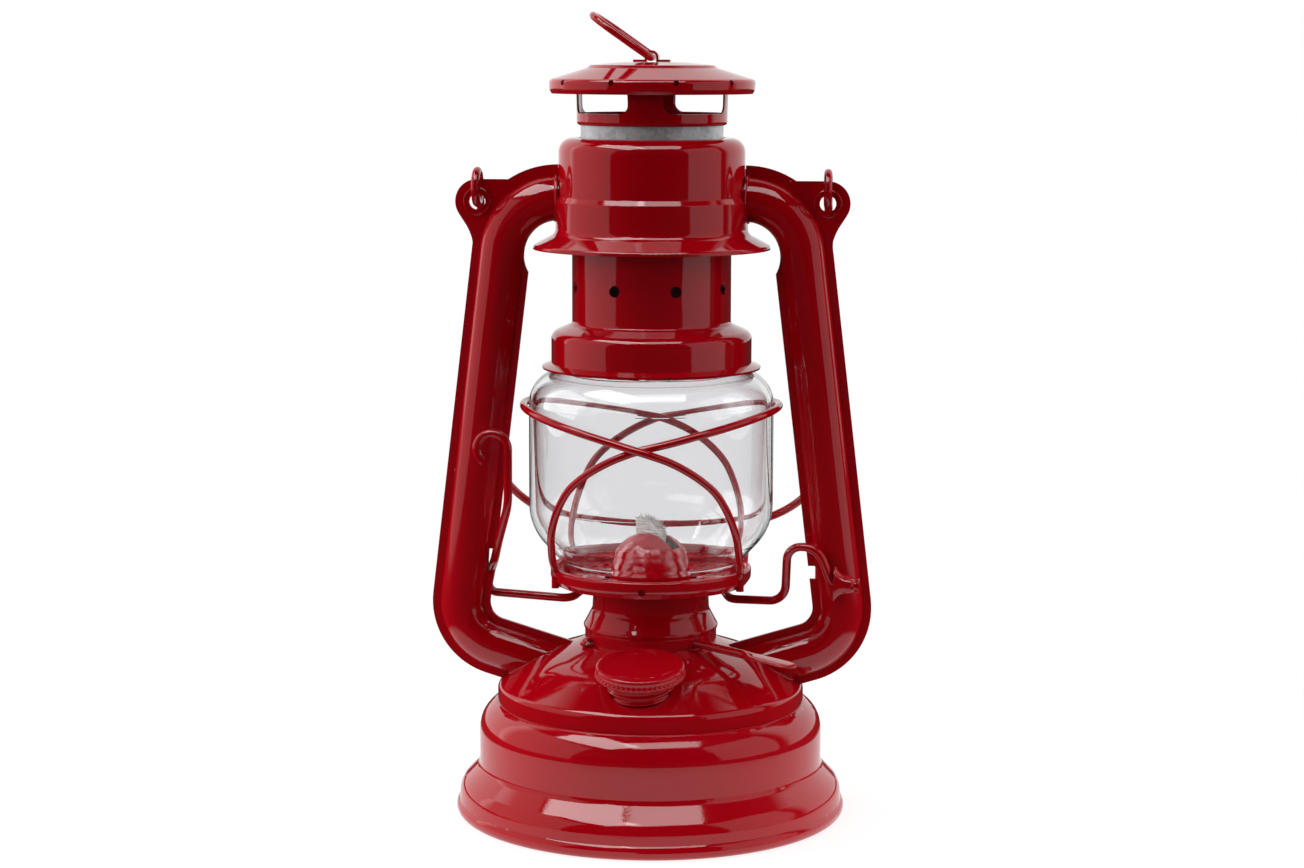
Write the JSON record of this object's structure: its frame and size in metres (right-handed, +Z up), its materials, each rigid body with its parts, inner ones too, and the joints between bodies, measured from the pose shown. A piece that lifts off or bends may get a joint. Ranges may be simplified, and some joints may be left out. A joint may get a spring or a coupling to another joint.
{
  "type": "hurricane lantern",
  "caption": "Hurricane lantern: round fuel tank, side air tubes, glass globe in crossed guard wires, vented cap, lift lever and carrying bail.",
  "frame": {"origin": "middle of the base, on the surface that the lantern stands on", "axes": "+Z up; the side tubes stand along X, the wick key and the strap of the lever at +X; the filler cap is at the front, -Y"},
  "size_m": [0.1562, 0.1382, 0.2823],
  "materials": {
    "red_enamel": "gloss enamel over pressed steel",
    "red_wire": "gloss enamel over steel wire",
    "galvanised": "galvanised sheet",
    "spring_steel": "plain spring wire",
    "brass": "plain brass sheet",
    "glass": "clear",
    "cotton": "woven cotton, frayed top",
    "rubber": "matt black"
  },
  "bodies": {
    "frame": {"tank_shell": "red_enamel", "tank_bottom": "red_enamel", "tank_top": "red_enamel", "air_dome": "red_enamel", "filler_neck": "red_enamel", "burner_collar": "red_enamel", "burner_base": "brass", "wick_tube": "brass", "burner_cone": "red_enamel", "left_tube_front": "red_enamel", "left_tube_back": "red_enamel", "right_tube_front": "red_enamel", "right_tube_back": "red_enamel", "hood": "red_enamel", "lever_strap": "red_enamel", "chimney_spring": "spring_steel"},
    "globe_carriage": {"globe_plate": "red_enamel", "globe": "glass", "guard_wire_left": "red_wire", "guard_wire_right": "red_wire"},
    "chimney": {"chimney_bell": "red_enamel", "flue": "galvanised", "cap_cage": "red_enamel", "cap_disc": "red_enamel", "ring_staple": "red_enamel"},
    "top_ring": {"top_ring": "red_wire"},
    "lift_lever": {"lift_lever": "red_wire"},
    "bail": {"bail": "red_wire"},
    "wick_knob": {"wick_spindle": "red_enamel", "wick_sprockets": "brass"},
    "wick": {"wick": "cotton"},
    "cap_gasket": {"cap_gasket": "rubber"},
    "fuel_cap": {"fuel_cap": "red_enamel"}
  },
  "joints": [
    {"name": "lever_lift", "type": "hinge", "parent": "frame", "child": "lift_lever", "pos_m": [-0.0558, 0, 0.0895], "axis": [0.9958, -0.0807, -0.0426], "range_deg": [0, 22]},
    {"name": "globe_lift", "type": "slide", "parent": "frame", "child": "globe_carriage", "axis": [0, 0, 1], "range_m": [0, 0.01267]},
    {"name": "chimney_lift", "type": "slide", "parent": "globe_carriage", "child": "chimney", "axis": [0, 0, 1], "range_m": [0, 0.01], "deforming": ["chimney_spring"]},
    {"name": "ring_swing", "type": "hinge", "parent": "chimney", "child": "top_ring", "pos_m": [0, 0, 0.26665], "axis": [0, 1, 0], "range_deg": [-32, 142]},
    {"name": "bail_swing", "type": "hinge", "parent": "frame", "child": "bail", "pos_m": [0, 0, 0.22152], "axis": [1, 0, 0], "range_deg": [0, 272]},
    {"name": "wick_turn", "type": "hinge", "parent": "frame", "child": "wick_knob", "pos_m": [-0.00281, -0.00507, 0.0656], "axis": [0.8717, -0.4832, -0.0819], "range_deg": [-137, 55]},
    {"name": "wick_feed", "type": "slide", "parent": "frame", "child": "wick", "axis": [0, 0, 1], "range_m": [-0.01, 0.004]},
    {"name": "cap_rise", "type": "slide", "parent": "frame", "child": "cap_gasket", "axis": [0, -0.1908, 0.9816], "range_m": [0, 0.00721]},
    {"name": "cap_turn", "type": "hinge", "parent": "cap_gasket", "child": "fuel_cap", "pos_m": [0, -0.04, 0.0517], "axis": [0, -0.1908, 0.9816], "range_deg": [0, 1080]}
  ],
  "couplings": [
    {"joint": "lever_lift", "follows": "globe_lift", "rad_per_m": 30.303},
    {"joint": "wick_turn", "follows": "wick_feed", "rad_per_m": 238.1},
    {"joint": "cap_rise", "follows": "cap_turn", "m_per_rad": 0.00038197}
  ]
}
